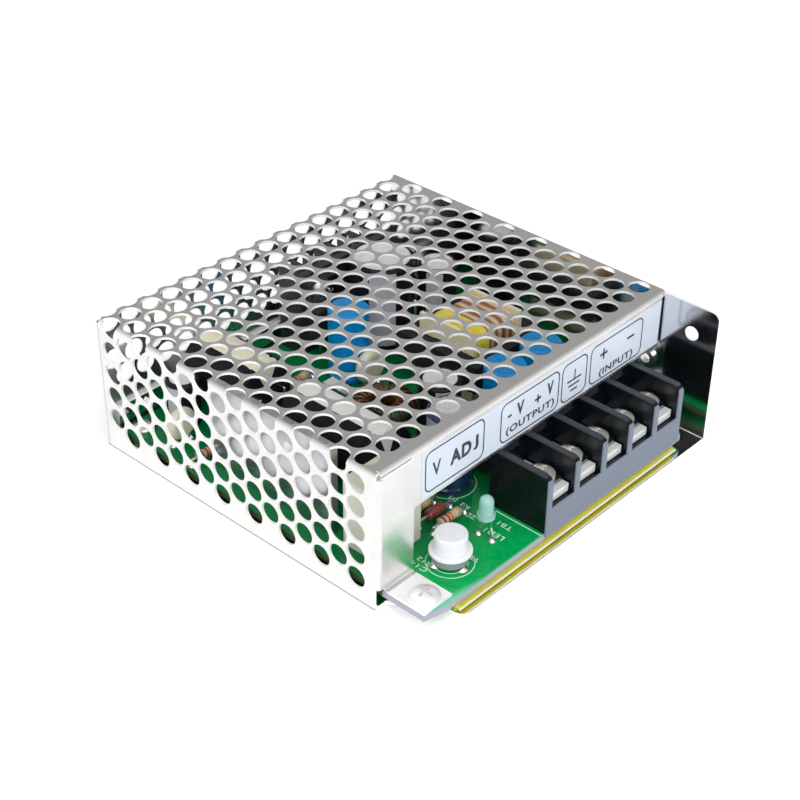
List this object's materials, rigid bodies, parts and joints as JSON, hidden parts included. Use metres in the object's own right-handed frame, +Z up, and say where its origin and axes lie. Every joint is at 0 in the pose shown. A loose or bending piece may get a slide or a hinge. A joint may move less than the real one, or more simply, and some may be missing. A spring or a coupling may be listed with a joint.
{
  "type": "enclosed dc-dc converter",
  "caption": "Enclosed DC-DC converter: folded perforated metal cover over an L-shaped chassis, with a barrier terminal block, trimmer knob and indicator lamp on an open front shelf.",
  "frame": {"origin": "centre of the rectangle that the case covers, on the underside of its base", "axes": "+Z up, the terminal side faces -Y, the plain chassis wall is on the +X side"},
  "size_m": [0.097, 0.1006, 0.0345],
  "materials": {
    "plated_sheet": "bright plated, smooth",
    "chassis_sheet": "bright plated, mirror-like",
    "plated_hardware": "nickel plated",
    "legend_print": "satin printed film",
    "insulation": "glossy yellow film",
    "board_laminate": "glossy green solder mask",
    "terminal_moulding": "semi-gloss black",
    "tinned_metal": "bright tinned",
    "white_moulding": "satin",
    "green_lens": "milky, glossy",
    "resistor_coat": "satin lacquer",
    "diode_glass": "glossy",
    "cream_case": "satin",
    "dark_sleeve": "glossy sleeve",
    "blue_sleeve": "glossy sleeve",
    "navy_sleeve": "glossy sleeve",
    "can_metal": "satin",
    "disc_coat": "glossy dip",
    "ferrite": "matt",
    "bobbin_moulding": "satin",
    "copper_wire": "lacquered",
    "yellow_tape": "glossy tape",
    "choke_coat": "painted",
    "bare_aluminium": "bright",
    "black_aluminium": "black anodised",
    "device_moulding": "matt",
    "white_chip": "matt",
    "fuse_ceramic": "satin"
  },
  "bodies": {
    "case": {"chassis_base": "chassis_sheet", "chassis_wall": "chassis_sheet", "chassis_lip": "chassis_sheet", "cover": "plated_sheet", "legend_label": "legend_print", "insulating_sheet": "insulation", "clinch_nuts": "plated_hardware", "cover_screws": "plated_hardware", "tab_screw": "plated_hardware", "board_spacers": "plated_hardware", "board_screws": "plated_hardware", "circuit_board": "board_laminate", "terminal_block": "terminal_moulding", "contact_plates": "tinned_metal", "trimmer_base": "white_moulding", "trimmer_pins": "tinned_metal", "indicator_lens": "green_lens", "indicator_leads": "tinned_metal", "resistors": "resistor_coat", "glass_diode": "diode_glass", "component_leads": "tinned_metal", "film_capacitor": "cream_case", "rear_filter_capacitor": "dark_sleeve", "front_filter_capacitor": "dark_sleeve", "can_capacitors": "dark_sleeve", "blue_capacitors": "blue_sleeve", "corner_capacitor": "navy_sleeve", "capacitor_tops": "can_metal", "disc_capacitors": "disc_coat", "transformer_core": "ferrite", "transformer_bobbin": "bobbin_moulding", "transformer_winding": "copper_wire", "transformer_tape": "yellow_tape", "transformer_pins": "tinned_metal", "choke_core": "choke_coat", "choke_winding": "copper_wire", "side_heatsink": "bare_aluminium", "rear_heatsink": "black_aluminium", "switch_transistor": "device_moulding", "output_rectifier": "device_moulding", "device_tabs": "tinned_metal", "device_screws": "plated_hardware", "controller_chip": "device_moulding", "optocoupler": "white_chip", "chip_legs": "tinned_metal", "fuse_tube": "fuse_ceramic", "fuse_caps": "tinned_metal"},
    "trimmer_knob": {"trimmer_knob": "white_moulding"},
    "clamp_washer_1": {"clamp_washer_1": "plated_hardware"},
    "clamp_washer_2": {"clamp_washer_2": "plated_hardware"},
    "clamp_washer_3": {"clamp_washer_3": "plated_hardware"},
    "clamp_washer_4": {"clamp_washer_4": "plated_hardware"},
    "clamp_washer_5": {"clamp_washer_5": "plated_hardware"},
    "terminal_screw_1": {"terminal_screw_1": "plated_hardware"},
    "terminal_screw_2": {"terminal_screw_2": "plated_hardware"},
    "terminal_screw_3": {"terminal_screw_3": "plated_hardware"},
    "terminal_screw_4": {"terminal_screw_4": "plated_hardware"},
    "terminal_screw_5": {"terminal_screw_5": "plated_hardware"}
  },
  "joints": [
    {"name": "trimmer_turn", "type": "hinge", "parent": "case", "child": "trimmer_knob", "pos_m": [-0.0302, -0.0393, 0.01], "axis": [0, 0, 1], "range_deg": [-135, 135]},
    {"name": "clamp_lift_1", "type": "slide", "parent": "case", "child": "clamp_washer_1", "axis": [0, 0, 1], "range_m": [0, 0.003]},
    {"name": "screw_turn_1", "type": "hinge", "parent": "clamp_washer_1", "child": "terminal_screw_1", "pos_m": [-0.00395, -0.04165, 0.0135], "axis": [0, 0, 1], "range_deg": [0, 1801]},
    {"name": "clamp_lift_2", "type": "slide", "parent": "case", "child": "clamp_washer_2", "axis": [0, 0, 1], "range_m": [0, 0.003]},
    {"name": "screw_turn_2", "type": "hinge", "parent": "clamp_washer_2", "child": "terminal_screw_2", "pos_m": [0.00555, -0.04165, 0.0135], "axis": [0, 0, 1], "range_deg": [0, 1801]},
    {"name": "clamp_lift_3", "type": "slide", "parent": "case", "child": "clamp_washer_3", "axis": [0, 0, 1], "range_m": [0, 0.003]},
    {"name": "screw_turn_3", "type": "hinge", "parent": "clamp_washer_3", "child": "terminal_screw_3", "pos_m": [0.01505, -0.04165, 0.0135], "axis": [0, 0, 1], "range_deg": [0, 1801]},
    {"name": "clamp_lift_4", "type": "slide", "parent": "case", "child": "clamp_washer_4", "axis": [0, 0, 1], "range_m": [0, 0.003]},
    {"name": "screw_turn_4", "type": "hinge", "parent": "clamp_washer_4", "child": "terminal_screw_4", "pos_m": [0.02455, -0.04165, 0.0135], "axis": [0, 0, 1], "range_deg": [0, 1801]},
    {"name": "clamp_lift_5", "type": "slide", "parent": "case", "child": "clamp_washer_5", "axis": [0, 0, 1], "range_m": [0, 0.003]},
    {"name": "screw_turn_5", "type": "hinge", "parent": "clamp_washer_5", "child": "terminal_screw_5", "pos_m": [0.03405, -0.04165, 0.0135], "axis": [0, 0, 1], "range_deg": [0, 1801]}
  ],
  "couplings": [
    {"joint": "screw_turn_1", "follows": "clamp_lift_1", "rad_per_m": 10472},
    {"joint": "screw_turn_2", "follows": "clamp_lift_2", "rad_per_m": 10472},
    {"joint": "screw_turn_3", "follows": "clamp_lift_3", "rad_per_m": 10472},
    {"joint": "screw_turn_4", "follows": "clamp_lift_4", "rad_per_m": 10472},
    {"joint": "screw_turn_5", "follows": "clamp_lift_5", "rad_per_m": 10472}
  ]
}
